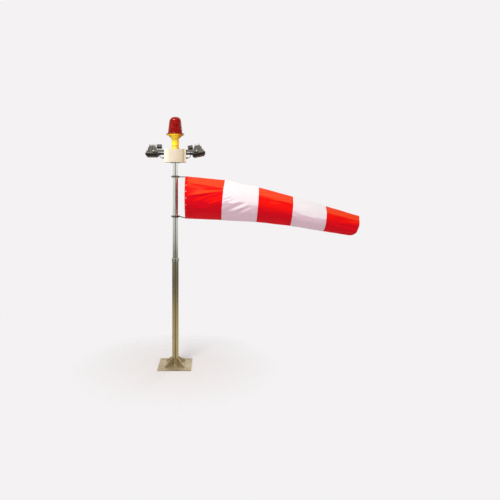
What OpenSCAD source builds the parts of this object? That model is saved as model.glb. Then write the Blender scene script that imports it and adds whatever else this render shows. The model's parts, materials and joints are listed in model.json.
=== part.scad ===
// Windsock on a tubular mast, with a head box, an obstruction light and two floodlights.
// Millimetres. The origin is the centre of the base plate's underside, on the mast axis.
// +Z is up, +X points along the sock, and the front of the head box faces -Y.

/* [Base] */
// Side of the square base plate
base_w = 460; // [380:5:600]
// Thickness of the base plate
base_t = 12; // [8:1:20]
// Distance between neighbouring anchor holes
anchor_spacing = 350; // [280:5:460]
// Diameter of the anchor holes
anchor_hole_d = 22; // [14:1:30]
// Diameter of the cable hole in the base plate
cable_hole_d = 40; // [20:1:60]
// Reach of a gusset beyond the lower tube
gusset_reach = 145; // [90:5:180]
// Height of a gusset
gusset_h = 98; // [60:1:180]
// Thickness of a gusset
gusset_t = 10; // [5:1:14]

/* [Mast] */
// Outside diameter of the lower tube
lower_d = 89; // [84:0.5:120]
// Wall of the lower tube
lower_wall = 3; // [2:0.5:4]
// Height of the lower tube's top end
lower_top = 1478; // [1000:2:1960]
// Outside diameter of the upper tube
upper_d = 76; // [60:0.5:78]
// Wall of the upper tube
upper_wall = 2.5; // [2:0.5:4]
// Height of the upper tube's top end, under the head box
upper_top = 2842; // [2360:2:3420]
// Length of the upper tube that stands in the lower tube
overlap_l = 246; // [120:2:400]
// Height of the joint collar above and below the lower tube's end
joint_h = 24; // [14:1:40]
// Wall of the joint collar around the lower tube
joint_wall = 5; // [3:0.5:10]
// Radial play between tubes and what slips over them
slip = 0.1; // [0.05:0.01:0.3]

/* [Swivel] */
// Drop from the upper tube's top end to the upper swivel collar's middle
swivel_drop = 197; // [60:1:300]
// Distance between the middles of the two swivel collars
swivel_span = 554; // [400:2:700]
// Outside diameter of a swivel collar
collar_d = 118; // [106:1:140]
// Height of a swivel collar
collar_h = 16; // [12:1:50]
// Wall of the bronze bush
bush_wall = 7; // [4:0.5:10]
// Thickness of the bush's flange
bush_flange_t = 3; // [2:0.5:8]
// Radial running clearance of a bush on the tube
swivel_play = 0.08; // [0.02:0.01:0.1]
// Height of a stop collar
stop_h = 8; // [6:1:30]
// Wall of a stop collar
stop_wall = 6; // [5:0.5:14]
// Axial play of the swivel between its stops
stop_play = 0.5; // [0.2:0.1:2]
// Diameter of the two arms
arm_d = 14; // [8:1:24]
// Diameter of the hoop's rod
hoop_rod_d = 12; // [8:1:20]
// Distance of the hoop from the mast axis
hoop_x = 150; // [110:2:220]

/* [Sock] */
// Diameter of the sock at the mouth
mouth_d = 592; // [480:2:720]
// Diameter at the first seam
seam_1_d = 563; // [400:1:600]
// Diameter at the second seam
seam_2_d = 488; // [380:1:600]
// Diameter at the third seam
seam_3_d = 415; // [340:1:560]
// Diameter at the fourth seam
seam_4_d = 355; // [300:1:500]
// Diameter of the open tail
tail_d = 291; // [150:1:400]
// Length of the first band along its middle
band_1_l = 511; // [400:1:620]
// Length of the second band
band_2_l = 490; // [400:1:620]
// Length of the third band
band_3_l = 481; // [400:1:620]
// Length of the fourth band
band_4_l = 478; // [400:1:620]
// Length of the fifth band
band_5_l = 456; // [400:1:620]
// Slope of the first band below the horizontal, in degrees
slope_1 = 4.1; // [0:0.1:8]
// Slope of the second band
slope_2 = 7.5; // [0:0.1:14]
// Slope of the third band
slope_3 = 10.8; // [0:0.1:20]
// Slope of the fourth band
slope_4 = 13; // [0:0.1:25]
// Slope of the fifth band
slope_5 = 13.1; // [0:0.1:30]
// Thickness of the cloth shell
cloth_t = 1; // [0.5:0.1:2]
// Radial gap between a band and the next one inside it
seam_gap = 6; // [4:0.5:9]
// Lean of a seam's plane beyond the next band's slope, which leaves that band room to droop
seam_trim = 6; // [4:0.5:10]
// Gap between the hoop and the sock's hem
hem_gap = 8; // [4:1:20]
// Number of cloth loops that hold the sock to the hoop
loop_n = 20; // [8:1:30]
// Part of the hoop that the loops cover, in percent
loop_cover = 70; // [30:5:90]

/* [Head box] */
// Width of the head box
box_w = 302; // [240:2:420]
// Depth of the head box, cover included
box_d = 200; // [140:2:320]
// Height of the head box
box_h = 183; // [140:1:300]
// Sheet thickness of the head box
box_t = 2; // [1.5:0.5:4]
// Radius of the box's upright edges
box_r = 5; // [3:0.5:20]
// Thickness of the head flange on the upper tube
flange_t = 6; // [4:1:12]
// Diameter of the head flange
flange_d = 160; // [130:2:200]

/* [Beacon] */
// Diameter of the beacon's foot between its lugs
foot_d = 82; // [60:1:100]
// Height of the foot with its lugs
foot_h = 54; // [30:1:80]
// Reach of a lug from the beacon's axis
lug_reach = 58; // [52:1:90]
// Diameter of the stem
stem_d = 110; // [80:1:140]
// Height of the stem above the foot
stem_h = 92; // [50:1:160]
// Diameter of the casting's flange
rim_d = 246; // [200:1:300]
// Height of the flare between stem and flange
flare_h = 52; // [20:1:90]
// Thickness of the casting's flange
rim_t = 10; // [6:1:16]
// Wall of the casting
cast_wall = 5; // [3:0.5:8]
// Thickness of the seal under the lens
seal_t = 3; // [2:0.5:5]
// Diameter of the lens's flange
lens_rim_d = 256; // [200:1:310]
// Diameter of the dome at its base
dome_d = 212; // [150:1:220]
// Diameter of the dome where its top starts to round
dome_top_d = 172; // [100:1:190]
// Height of the dome
dome_h = 245; // [160:1:320]
// Wall of the dome
dome_wall = 4; // [3:0.5:6]

/* [Floodlights] */
// Height of the floodlight pivots above the box's underside
flood_rise = 142; // [110:2:160]
// Distance of a pivot from the box's side wall
pivot_reach = 149; // [146:1:200]
// Turn of both floodlights towards the front, in degrees
flood_aim = 11; // [0:1:20]
// Roll of the left floodlight, outer end up, in degrees
roll_left = 0; // [-10:0.5:20]
// Roll of the right floodlight, outer end up, in degrees
roll_right = 11.5; // [-10:0.5:20]
// Length of the bezel
bezel_l = 184; // [150:2:220]
// Width of the bezel
bezel_w = 150; // [120:2:170]
// Thickness of the bezel's rim
bezel_t = 12; // [8:1:20]
// Height of the heat sink above the bezel
sink_h = 120; // [80:1:150]
// Number of cooling fins
fin_n = 9; // [5:1:14]
// Thickness of a fin
fin_t = 4; // [2:0.5:8]
// Offset of the floodlight's middle beyond its pivot
flood_off = 24; // [16:1:50]
// Diameter of a lead
lead_d = 8; // [6:0.5:10]
// Diameter of the pivot bolts
pivot_d = 10; // [6:1:14]
// Radial running clearance of a pivot bolt in its arm
pivot_play = 0.05; // [0.02:0.01:0.1]

/* [Hidden] */
eps = 0.01;
past = 1;
lots = 2000;
fine = 96;

// Mast
sleeve_lip = 4;
upper_bottom = lower_top - overlap_l;
sleeve_bottom = upper_bottom - sleeve_lip;
joint_screw_n = 3;
joint_screw_d = 8;
joint_screw_head_d = 13;
joint_screw_head_h = 8;
flange_bolt_r = flange_d / 2 - 14;
flange_bolt_d = 8;
wire_hole_d = 50;

// Swivel
bush_r = upper_d / 2 + bush_wall;
bush_flange_r = collar_d / 2 - 4;
swivel_z = upper_top - swivel_drop;
lower_swivel_z = swivel_z - swivel_span;
stop_r = upper_d / 2 + stop_wall;
half_collar = collar_h / 2 + bush_flange_t;
stop_low_z = lower_swivel_z - half_collar - stop_play - stop_h;
stop_high_z = swivel_z + half_collar + stop_play;
hoop_z = swivel_z - (mouth_d - hoop_rod_d) / 2;
hoop_r = (mouth_d - hoop_rod_d) / 2;

// Sock: the middle of each seam ring, from the mouth to the tail
seam_d = [mouth_d, seam_1_d, seam_2_d, seam_3_d, seam_4_d, tail_d];
band_l = [band_1_l, band_2_l, band_3_l, band_4_l, band_5_l];
slope = [slope_1, slope_2, slope_3, slope_4, slope_5];
mouth_x = hoop_x + hoop_rod_d / 2 + hem_gap;
function ring_x(k) = k == 0 ? mouth_x : ring_x(k - 1) + band_l[k - 1] * cos(slope[k - 1]);
function ring_z(k) = k == 0 ? hoop_z : ring_z(k - 1) - band_l[k - 1] * sin(slope[k - 1]);
function ring_lean(k) = k == 0 ? 0 : k == 5 ? slope_5 : slope[k] + seam_trim;
loop_angle = 360 / loop_n * loop_cover / 100;
loop_r = hoop_rod_d / 2 + slip;
seam_run = 80;

// Head box
box_z = upper_top + flange_t;
box_top = box_z + box_h;
flood_z = box_z + flood_rise;
cover_t = box_t;
cover_lip = 14;
gasket_t = 3;
shell_d = box_d - cover_t - gasket_t;
box_front = -box_d / 2;
shell_back = box_front + shell_d;
cover_screw_inset = 9;
cover_screw_d = 5;
beacon_hole_d = 40;

// Beacon
lug_w = 24;
lug_foot_t = 12;
lug_n = 4;
lug_bolt_d = 8;
lug_bolt_r = lug_reach - 9;
stem_z = box_top + foot_h;
flare_z = stem_z + stem_h;
rim_z = flare_z + flare_h;
seal_z = rim_z + rim_t;
lens_z = seal_z + seal_t;
lens_rim_t = 8;
lens_screw_n = 6;
lens_screw_d = 5;
lens_screw_r = (dome_d / 2 + rim_d / 2) / 2;
dome_round = (dome_h - lens_rim_t) * 0.3;
tower_d = 52;
tower_h = dome_h * 0.62;

// Floodlights, in the frame of a right lamp: +X away from the box wall, the pivot at the origin
arm_t = 4;
yoke_h = 34;
arm_gap = 4;
arm_y = bezel_w / 2 + arm_gap;
body_l = bezel_l - 20;
body_w = bezel_w - 20;
body_t = 14;
bezel_top = -26;
body_z = bezel_top;
fin_z = body_z + body_t;
fin_top_l = 78;
fin_base_l = body_l - 10;
fin_base_w = body_w - 8;
fin_top_w = body_w - 40;
core_w = 64;
core_h = sink_h * 0.84;
boss_d = 26;
boss_gap = 0.3;
frame_in = 6;
frame_h = 24;
frame_slope = 16;
window_l = 118;
window_w = 84;
glass_t = 4;
glass_lip = 6;
led_t = 5;
led_d = 14;
led_nx = 5;
led_ny = 3;
led_dx = 22;
led_dy = 26;
driver_l = 48;
driver_over = 18;
driver_w = 92;
driver_h = 46;
driver_r = 9;
driver_z = 62;
plate_t = 4;
knob_d = 26;
knob_t = 12;
yoke_bolt_y = 26;
yoke_bolt_d = 8;
yoke_bolt_head_d = 14;
yoke_bolt_head_t = 6;
yoke_bolt_nut_t = 6;
gland_d = 22;
gland_l = 28;
gland_y = -44;
gland_drop = 82;
exit_l = 16;
exit_r = 9;
driver_exit = [flood_off - body_l / 2 - plate_t - 24, -driver_w / 2 + 18, driver_z - exit_l];
// The lead's route: first from the driver's outlet, in the frame of the lamp, then from its gland
lead_lamp_pts = [[0, 0, -0.3], [0, 0, -12], [-1, 0, -24]];
lead_box_pts = [[37, 6, 66], [35, 1, 36], [30, 0, 18], [18, 0, 5], [0, 0, 0]];
gland_in = 12;

// ---------- shared shapes ----------

module tube(r_out, r_in, z0, z1)
    translate([0, 0, z0])
        difference() {
            cylinder(r = r_out, h = z1 - z0, $fn = fine);
            translate([0, 0, -past]) cylinder(r = r_in, h = z1 - z0 + 2 * past, $fn = fine);
        }

module ring_of(n, r, start = 0)
    for (i = [0:n - 1]) rotate([0, 0, start + i * 360 / n]) translate([r, 0, 0]) children();

module hex_bolt(d, head_d, head_t, length) {
    cylinder(r = head_d / 2, h = head_t, $fn = 6);
    translate([0, 0, -length]) cylinder(r = d / 2, h = length + head_t / 2, $fn = 32);
}

module round_block(size, r)
    translate([r, r, 0])
        linear_extrude(size[2])
            union() {
                translate([-r, 0]) square([size[0], size[1] - 2 * r]);
                translate([0, -r]) square([size[0] - 2 * r, size[1]]);
                for (x = [0, size[0] - 2 * r], y = [0, size[1] - 2 * r])
                    translate([x, y]) circle(r, $fn = 48);
            }

// Puts a piece of a floodlight in its place: side is 1 on the right and -1 on the left
module on_wall(side)
    translate([0, 0, flood_z])
        mirror([side < 0 ? 1 : 0, 0, 0])
            translate([box_w / 2, 0, 0]) rotate([-flood_aim, 0, 0]) children();

module on_lamp(side)
    on_wall(side)
        translate([pivot_reach, 0, 0]) rotate([0, -(side < 0 ? roll_left : roll_right), 0])
            children();

// ---------- mast ----------

module base_plate()
    color("#b4a489")
        difference() {
            translate([-base_w / 2, -base_w / 2, 0]) cube([base_w, base_w, base_t]);
            for (x = [-1, 1], y = [-1, 1])
                translate([x * anchor_spacing / 2, y * anchor_spacing / 2, -past])
                    cylinder(r = anchor_hole_d / 2, h = base_t + 2 * past, $fn = 64);
            translate([0, 0, -past])
                cylinder(r = cable_hole_d / 2, h = base_t + 2 * past, $fn = 64);
        }

module gusset(i)
    color("#8c8264")
        rotate([0, 0, 45 + 90 * i])
            translate([0, gusset_t / 2, base_t])
                rotate([90, 0, 0])
                    linear_extrude(gusset_t)
                        difference() {
                            polygon([[lower_d / 2, 0], [lower_d / 2 + gusset_reach, 0],
                                [lower_d / 2 + gusset_reach, gusset_t * 1.4],
                                [lower_d / 2 + gusset_t * 1.4, gusset_h], [lower_d / 2, gusset_h]]);
                            translate([lower_d / 2, 0]) circle(gusset_t, $fn = 32);
                        }

module lower_tube()
    color("#a39b80")
        tube(lower_d / 2, lower_d / 2 - lower_wall, base_t, lower_top);

module mast_sleeve()
    color("#8d8d88")
        difference() {
            tube(lower_d / 2 - lower_wall, upper_d / 2 - upper_wall, sleeve_bottom, lower_top);
            translate([0, 0, upper_bottom])
                cylinder(r = upper_d / 2 + slip, h = overlap_l + past, $fn = fine);
        }

module joint_collar()
    color("#e6e6e0")
        difference() {
            tube(lower_d / 2 + joint_wall, upper_d / 2 + slip, lower_top - joint_h,
                lower_top + joint_h);
            translate([0, 0, lower_top - joint_h - past])
                cylinder(r = lower_d / 2, h = joint_h + past, $fn = fine);
            translate([0, 0, lower_top + joint_h / 2])
                ring_of(joint_screw_n, 0, 30)
                    rotate([0, 90, 0]) cylinder(r = joint_screw_d / 2, h = lower_d, $fn = 32);
        }

module joint_screws()
    color("#77777a")
        translate([0, 0, lower_top + joint_h / 2])
            ring_of(joint_screw_n, upper_d / 2, 30)
                rotate([0, 90, 0]) {
                    reach = (lower_d - upper_d) / 2 + joint_wall;
                    cylinder(r = joint_screw_d / 2, h = reach + past, $fn = 32);
                    translate([0, 0, reach])
                        cylinder(r = joint_screw_head_d / 2, h = joint_screw_head_h, $fn = 6);
                }

module upper_tube()
    color("#c3c3be")
        tube(upper_d / 2, upper_d / 2 - upper_wall, upper_bottom, upper_top);

module stop_collar(z)
    color("#9a9a96")
        tube(stop_r, upper_d / 2, z, z + stop_h);

module head_flange()
    color("#b7b29f")
        difference() {
            translate([0, 0, upper_top]) cylinder(r = flange_d / 2, h = flange_t, $fn = fine);
            translate([0, 0, upper_top - past])
                cylinder(r = wire_hole_d / 2, h = flange_t + 2 * past, $fn = 64);
            translate([0, 0, upper_top - past])
                ring_of(4, flange_bolt_r, 45)
                    cylinder(r = flange_bolt_d / 2, h = flange_t + 2 * past, $fn = 32);
        }

module head_bolts()
    color("#77777a")
        translate([0, 0, upper_top])
            ring_of(4, flange_bolt_r, 45) {
                translate([0, 0, -6]) cylinder(r = 6.5, h = 6, $fn = 6);
                cylinder(r = flange_bolt_d / 2, h = flange_t + box_t, $fn = 32);
                translate([0, 0, flange_t + box_t]) cylinder(r = 6.5, h = 6.5, $fn = 6);
            }

// ---------- head box ----------

module box_shell()
    color("#cfc8b4")
        difference() {
            translate([-box_w / 2, box_front, box_z])
                difference() {
                    round_block([box_w, shell_d + 2 * box_r, box_h], box_r);
                    translate([-past, shell_d, -past])
                        cube([box_w + 2 * past, lots, box_h + 2 * past]);
                }
            translate([-box_w / 2 + box_t, box_front + box_t, box_z + box_t])
                cube([box_w - 2 * box_t, lots, box_h - 2 * box_t]);
            translate([0, 0, box_z - past])
                cylinder(r = wire_hole_d / 2, h = box_t + 2 * past, $fn = 64);
            translate([0, 0, box_z - past])
                ring_of(4, flange_bolt_r, 45)
                    cylinder(r = flange_bolt_d / 2, h = box_t + 2 * past, $fn = 32);
            translate([0, 0, box_top - box_t - past]) {
                cylinder(r = beacon_hole_d / 2, h = box_t + 2 * past, $fn = 64);
                ring_of(lug_n, lug_bolt_r, -90)
                    cylinder(r = lug_bolt_d / 2, h = box_t + 2 * past, $fn = 32);
            }
            for (side = [-1, 1]) {
                on_wall(side)
                    for (y = [-yoke_bolt_y, yoke_bolt_y])
                        translate([-box_t - past, y, 0])
                            rotate([0, 90, 0])
                                cylinder(r = yoke_bolt_d / 2, h = box_t + 2 * past, $fn = 32);
                gland_place(side)
                    translate([0, 0, -box_t - past])
                        cylinder(r = gland_d / 2 - 4, h = box_t + 2 * past, $fn = 48);
            }
        }

module box_gasket()
    color("#202020")
        translate([0, shell_back, 0])
            difference() {
                translate([-box_w / 2 + box_t, 0, box_z + box_t])
                    cube([box_w - 2 * box_t, gasket_t, box_h - 2 * box_t]);
                translate([-box_w / 2 + cover_lip + box_t, -past, box_z + cover_lip + box_t])
                    cube([box_w - 2 * (cover_lip + box_t), gasket_t + 2 * past,
                        box_h - 2 * (cover_lip + box_t)]);
                cover_holes();
            }

module cover_holes()
    for (x = [-1, 1], z = [cover_screw_inset, box_h - cover_screw_inset])
        translate([x * (box_w / 2 - cover_screw_inset), -past, box_z + z])
            rotate([-90, 0, 0]) cylinder(r = cover_screw_d / 2, h = box_d, $fn = 32);

module box_cover()
    color("#cfc8b4")
        translate([0, shell_back + gasket_t, 0])
            difference() {
                translate([-box_w / 2, 0, box_z]) cube([box_w, cover_t, box_h]);
                cover_holes();
            }

module cover_screws()
    color("#77777a")
        for (x = [-1, 1], z = [cover_screw_inset, box_h - cover_screw_inset])
            translate([x * (box_w / 2 - cover_screw_inset), box_d / 2, box_z + z])
                rotate([-90, 0, 0])
                    hex_bolt(cover_screw_d, 9, 4, cover_t + gasket_t);

module power_unit()
    color("#c9ccd0")
        translate([-box_w / 2 + 28, -30, box_z + box_t]) {
            difference() {
                cube([64, 110, 120]);
                for (z = [24:16:104]) translate([-past, -past, z]) cube([4, 120, 6]);
            }
        }

module terminal_strip()
    color("#d8d4c8")
        translate([60, -30, box_z + box_t])
            difference() {
                cube([60, 90, 34]);
                for (y = [8:16:74])
                    translate([14, y, 20]) cube([32, 8, 20]);
            }

// ---------- beacon ----------

module beacon_base()
    color("#ffd800")
        translate([0, 0, box_top])
            difference() {
                union() {
                    rotate_extrude($fn = fine)
                        polygon([[0, 0], [foot_d / 2, 0], [foot_d / 2, foot_h - 8],
                            [stem_d / 2 + 2, foot_h], [stem_d / 2 + 2, foot_h + 8],
                            [stem_d / 2, foot_h + 12], [stem_d / 2 - 4, foot_h + stem_h],
                            [rim_d / 2 - 18, foot_h + stem_h + flare_h],
                            [rim_d / 2, foot_h + stem_h + flare_h],
                            [rim_d / 2, foot_h + stem_h + flare_h + rim_t],
                            [0, foot_h + stem_h + flare_h + rim_t]]);
                    for (i = [0:lug_n - 1])
                        rotate([0, 0, -90 + i * 360 / lug_n])
                            lug();
                }
                rotate_extrude($fn = fine)
                    polygon([[0, -past], [foot_d / 2 - cast_wall, -past],
                        [foot_d / 2 - cast_wall, foot_h],
                        [stem_d / 2 - 4 - cast_wall, foot_h + stem_h],
                        [dome_d / 2 - 14, foot_h + stem_h + flare_h],
                        [dome_d / 2 - 14, foot_h + stem_h + flare_h + rim_t + past],
                        [0, foot_h + stem_h + flare_h + rim_t + past]]);
                translate([0, 0, foot_h + stem_h + flare_h - past])
                    ring_of(lens_screw_n, lens_screw_r, 30)
                        cylinder(r = lens_screw_d / 2, h = rim_t + 2 * past, $fn = 32);
            }

module lug()
    difference() {
        union() {
            translate([foot_d / 2 - cast_wall, -lug_w / 2, 0])
                cube([lug_bolt_r - foot_d / 2 + cast_wall, lug_w, lug_foot_t]);
            translate([lug_bolt_r, 0, 0]) cylinder(r = lug_w / 2, h = lug_foot_t, $fn = 48);
            for (y = [-lug_w / 2, lug_w / 2 - 5])
                translate([0, y + 5, 0])
                    rotate([90, 0, 0])
                        linear_extrude(5)
                            polygon([[foot_d / 2 - cast_wall, 0], [lug_reach - 2, 0],
                                [lug_reach - 2, lug_foot_t], [foot_d / 2, foot_h - 10],
                                [foot_d / 2 - cast_wall, foot_h - 10]]);
        }
        translate([lug_bolt_r, 0, -past])
            cylinder(r = lug_bolt_d / 2, h = lug_foot_t + 2 * past, $fn = 32);
    }

module beacon_bolts()
    color("#5f5f60")
        translate([0, 0, box_top + lug_foot_t])
            ring_of(lug_n, lug_bolt_r, -90)
                hex_bolt(lug_bolt_d, 13, 6, lug_foot_t + box_t + 6);

module beacon_gasket()
    color("#181818")
        difference() {
            tube(rim_d / 2 - 3, dome_d / 2 - 10, seal_z, lens_z);
            translate([0, 0, seal_z - past])
                ring_of(lens_screw_n, lens_screw_r, 30)
                    cylinder(r = lens_screw_d / 2, h = seal_t + 2 * past, $fn = 32);
        }

module dome_profile(inset)
    polygon(concat([[0, 0], [dome_d / 2 - inset, 0],
        [dome_top_d / 2 - inset, dome_h - dome_round]],
        [for (a = [6:6:84])
            [dome_top_d / 2 - dome_round + (dome_round - inset) * cos(a),
                dome_h - dome_round + (dome_round - inset) * sin(a)]],
        [[dome_top_d / 2 - dome_round, dome_h - inset], [0, dome_h - inset]]));

module beacon_lens()
    color("#a01008")
        translate([0, 0, lens_z])
            difference() {
                union() {
                    cylinder(r = lens_rim_d / 2, h = lens_rim_t, $fn = fine);
                    rotate_extrude($fn = fine) dome_profile(0);
                }
                rotate_extrude($fn = fine) dome_profile(dome_wall);
                translate([0, 0, -past])
                    cylinder(r = dome_d / 2 - dome_wall - 1, h = past + 2, $fn = fine);
                translate([0, 0, -past])
                    ring_of(lens_screw_n, lens_screw_r, 30)
                        cylinder(r = lens_screw_d / 2, h = lens_rim_t + 2 * past, $fn = 32);
            }

module lens_screws()
    color("#77777a")
        translate([0, 0, lens_z + lens_rim_t])
            ring_of(lens_screw_n, lens_screw_r, 30)
                hex_bolt(lens_screw_d, 9, 4, lens_rim_t + seal_t + rim_t);

module lamp_tower()
    color("#b8b8b4")
        translate([0, 0, seal_z]) {
            tube(dome_d / 2 - 10 - slip, tower_d / 2 - 10, 0, seal_t + 2);
            tube(tower_d / 2, tower_d / 2 - 10, seal_t + 2 - eps, tower_h);
            translate([0, 0, tower_h]) cylinder(r = tower_d / 2 + 4, h = 5, $fn = 64);
        }

module lamp_leds()
    color("#fff2c0")
        translate([0, 0, seal_z])
            ring_of(8, tower_d / 2, 22.5)
                for (row = [0:3])
                    translate([0, -5, seal_t + 18 + row * (tower_h - 40) / 4])
                        cube([4, 10, 16]);

// ---------- floodlights ----------

module gland_place(side)
    mirror([side < 0 ? 1 : 0, 0, 0])
        translate([box_w / 2, gland_y, flood_z - gland_drop]) rotate([0, 90, 0]) children();

module yoke(side)
    color("#4a4a44")
        on_wall(side)
            difference() {
                union() {
                    translate([0, -arm_y - arm_t, -yoke_h / 2])
                        cube([arm_t, 2 * (arm_y + arm_t), yoke_h]);
                    for (y = [-arm_y - arm_t, arm_y]) {
                        translate([0, y, -yoke_h / 2]) cube([pivot_reach, arm_t, yoke_h]);
                        translate([pivot_reach, y + arm_t, 0])
                            rotate([90, 0, 0]) cylinder(r = yoke_h / 2, h = arm_t, $fn = 64);
                    }
                }
                translate([pivot_reach, lots / 2, 0])
                    rotate([90, 0, 0])
                        cylinder(r = pivot_d / 2 + pivot_play, h = lots, $fn = 48);
                for (y = [-yoke_bolt_y, yoke_bolt_y])
                    translate([-past, y, 0])
                        rotate([0, 90, 0])
                            cylinder(r = yoke_bolt_d / 2, h = arm_t + 2 * past, $fn = 32);
            }

module yoke_bolts(side)
    color("#77777a")
        on_wall(side)
            for (y = [-yoke_bolt_y, yoke_bolt_y])
                translate([arm_t, y, 0])
                    rotate([0, 90, 0]) {
                        hex_bolt(yoke_bolt_d, yoke_bolt_head_d, yoke_bolt_head_t,
                            arm_t + box_t + yoke_bolt_nut_t);
                        translate([0, 0, -arm_t - box_t - yoke_bolt_nut_t])
                            cylinder(r = yoke_bolt_head_d / 2, h = yoke_bolt_nut_t, $fn = 6);
                    }

module lead_gland(side)
    color("#1c1c1c")
        gland_place(side)
            difference() {
                union() {
                    cylinder(r = gland_d / 2 + 2, h = 7, $fn = 6);
                    cylinder(r = gland_d / 2 - 2, h = gland_l - 6, $fn = 48);
                    translate([0, 0, gland_l - 12])
                        rotate_extrude($fn = 48)
                            polygon([[0, 0], [gland_d / 2, 0], [gland_d / 2, 6],
                                [lead_d / 2 + 3, 12], [0, 12]]);
                    translate([0, 0, -box_t - 5]) cylinder(r = gland_d / 2 - 4, h = 6, $fn = 48);
                }
                translate([0, 0, -lots / 2]) cylinder(r = lead_d / 2, h = lots, $fn = 32);
            }

function fin_x(i) = flood_off - fin_base_l / 2 + i * (fin_base_l - fin_t) / (fin_n - 1);
function fin_mid(i) = abs(fin_x(i) + fin_t / 2 - flood_off);
function fin_height(i) = min(sink_h, sink_h - (fin_mid(i) - fin_top_l / 2) * sink_h * 0.72
    / (fin_base_l / 2 - fin_top_l / 2));

module flood_body(side)
    color("#5a5a52")
        on_lamp(side)
            difference() {
                union() {
                    translate([flood_off - body_l / 2, -body_w / 2, body_z])
                        cube([body_l, body_w, body_t]);
                    for (i = [0:fin_n - 1])
                        translate([fin_x(i), 0, fin_z - eps])
                            rotate([90, 0, 90])
                                linear_extrude(fin_t)
                                    polygon([[-fin_base_w / 2, 0], [fin_base_w / 2, 0],
                                        [fin_top_w / 2, fin_height(i)],
                                        [-fin_top_w / 2, fin_height(i)]]);
                    translate([flood_off, 0, fin_z - eps])
                        rotate([90, 0, 0])
                            translate([0, 0, -core_w / 2])
                                linear_extrude(core_w)
                                    polygon([[-fin_base_l / 2, 0], [fin_base_l / 2, 0],
                                        [fin_top_l / 2, core_h], [-fin_top_l / 2, core_h]]);
                    rotate([90, 0, 0])
                        translate([0, 0, -arm_y + boss_gap])
                            cylinder(r = boss_d / 2, h = 2 * (arm_y - boss_gap), $fn = 64);
                }
                translate([0, lots / 2, 0])
                    rotate([90, 0, 0]) cylinder(r = pivot_d / 2, h = lots, $fn = 48);
            }

module flood_bezel(side)
    color("#1c1a10")
        on_lamp(side)
            translate([flood_off, 0, bezel_top])
                difference() {
                    union() {
                        translate([-bezel_l / 2, -bezel_w / 2, -bezel_t])
                            cube([bezel_l, bezel_w, bezel_t]);
                        hull() {
                            translate([-bezel_l / 2 + frame_in, -bezel_w / 2 + frame_in, -bezel_t])
                                cube([bezel_l - 2 * frame_in, bezel_w - 2 * frame_in, eps]);
                            translate([-bezel_l / 2 + frame_in + frame_slope,
                                -bezel_w / 2 + frame_in + frame_slope, -bezel_t - frame_h])
                                cube([bezel_l - 2 * (frame_in + frame_slope),
                                    bezel_w - 2 * (frame_in + frame_slope), eps]);
                        }
                    }
                    translate([-window_l / 2, -window_w / 2, -lots / 2])
                        cube([window_l, window_w, lots]);
                    translate([-window_l / 2 - glass_lip, -window_w / 2 - glass_lip,
                        -bezel_t - frame_h - past])
                        cube([window_l + 2 * glass_lip, window_w + 2 * glass_lip, glass_t + past]);
                }

module flood_glass(side)
    color("#9a9a94")
        on_lamp(side)
            translate([flood_off - window_l / 2 - glass_lip, -window_w / 2 - glass_lip,
                bezel_top - bezel_t - frame_h])
                cube([window_l + 2 * glass_lip, window_w + 2 * glass_lip, glass_t]);

module flood_leds(side)
    color("#e8e0b0")
        on_lamp(side)
            translate([flood_off, 0, body_z]) {
                translate([-window_l / 2 + 1, -window_w / 2 + 1, -led_t])
                    cube([window_l - 2, window_w - 2, led_t]);
                for (i = [0:led_nx - 1], j = [0:led_ny - 1])
                    translate([(i - (led_nx - 1) / 2) * led_dx, (j - (led_ny - 1) / 2) * led_dy,
                        -led_t - 3])
                        cylinder(r = led_d / 2, h = 3 + eps, $fn = 32);
            }

module flood_driver(side)
    color("#3c3c38")
        on_lamp(side)
            union() {
                translate(driver_exit) cylinder(r = exit_r, h = exit_l + eps, $fn = 32);
                translate([flood_off - body_l / 2, 0, 0]) {
                    translate([-plate_t, -driver_w / 2 + 12, body_z])
                        cube([plate_t, driver_w - 24, driver_z + driver_h - body_z - 6]);
                    translate([driver_over, -driver_w / 2, driver_z])
                        rotate([0, -90, 0])
                            round_block([driver_h, driver_w, driver_over + plate_t + driver_l],
                                driver_r);
                }
            }

module pivot_bolts(side)
    color("#77777a")
        on_lamp(side)
            for (s = [-1, 1])
                rotate([s * 90, 0, 0]) {
                    translate([0, 0, boss_d])
                        cylinder(r = pivot_d / 2, h = arm_y + arm_t + boss_gap - boss_d, $fn = 48);
                    translate([0, 0, arm_y + arm_t + boss_gap])
                        cylinder(r = knob_d / 2, h = knob_t, $fn = 8);
                }

// ---------- leads ----------

function turn_x(p, a) = [p[0], p[1] * cos(a) - p[2] * sin(a), p[1] * sin(a) + p[2] * cos(a)];
function turn_y(p, a) = [p[0] * cos(a) + p[2] * sin(a), p[1], -p[0] * sin(a) + p[2] * cos(a)];
function lamp_point(p, roll) =
    turn_x(turn_y(p, -roll) + [pivot_reach, 0, 0], -flood_aim) + [box_w / 2, 0, flood_z];
function lead_points(roll) = concat(
    [for (p = lead_lamp_pts) lamp_point(driver_exit + p, roll)],
    [for (p = lead_box_pts) p + [box_w / 2 + gland_l, gland_y, flood_z - gland_drop]],
    [[box_w / 2 + gland_l - gland_in, gland_y, flood_z - gland_drop]]);
function catmull(p0, p1, p2, p3, t) = 0.5 * (2 * p1 + (p2 - p0) * t
    + (2 * p0 - 5 * p1 + 4 * p2 - p3) * t * t + (3 * p1 - p0 - 3 * p2 + p3) * t * t * t);
function smooth_path(p, n) = concat(
    [for (i = [0:len(p) - 2], j = [0:n - 1])
        catmull(p[max(i - 1, 0)], p[i], p[i + 1], p[min(i + 2, len(p) - 1)], j / n)],
    [p[len(p) - 1]]);
function unit(v) = v / norm(v);
function along(p, i) = unit(p[min(i + 1, len(p) - 1)] - p[max(i - 1, 0)]);
function side_of(t) = unit(cross(t, [0.3, 1, 0.2]));

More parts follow.
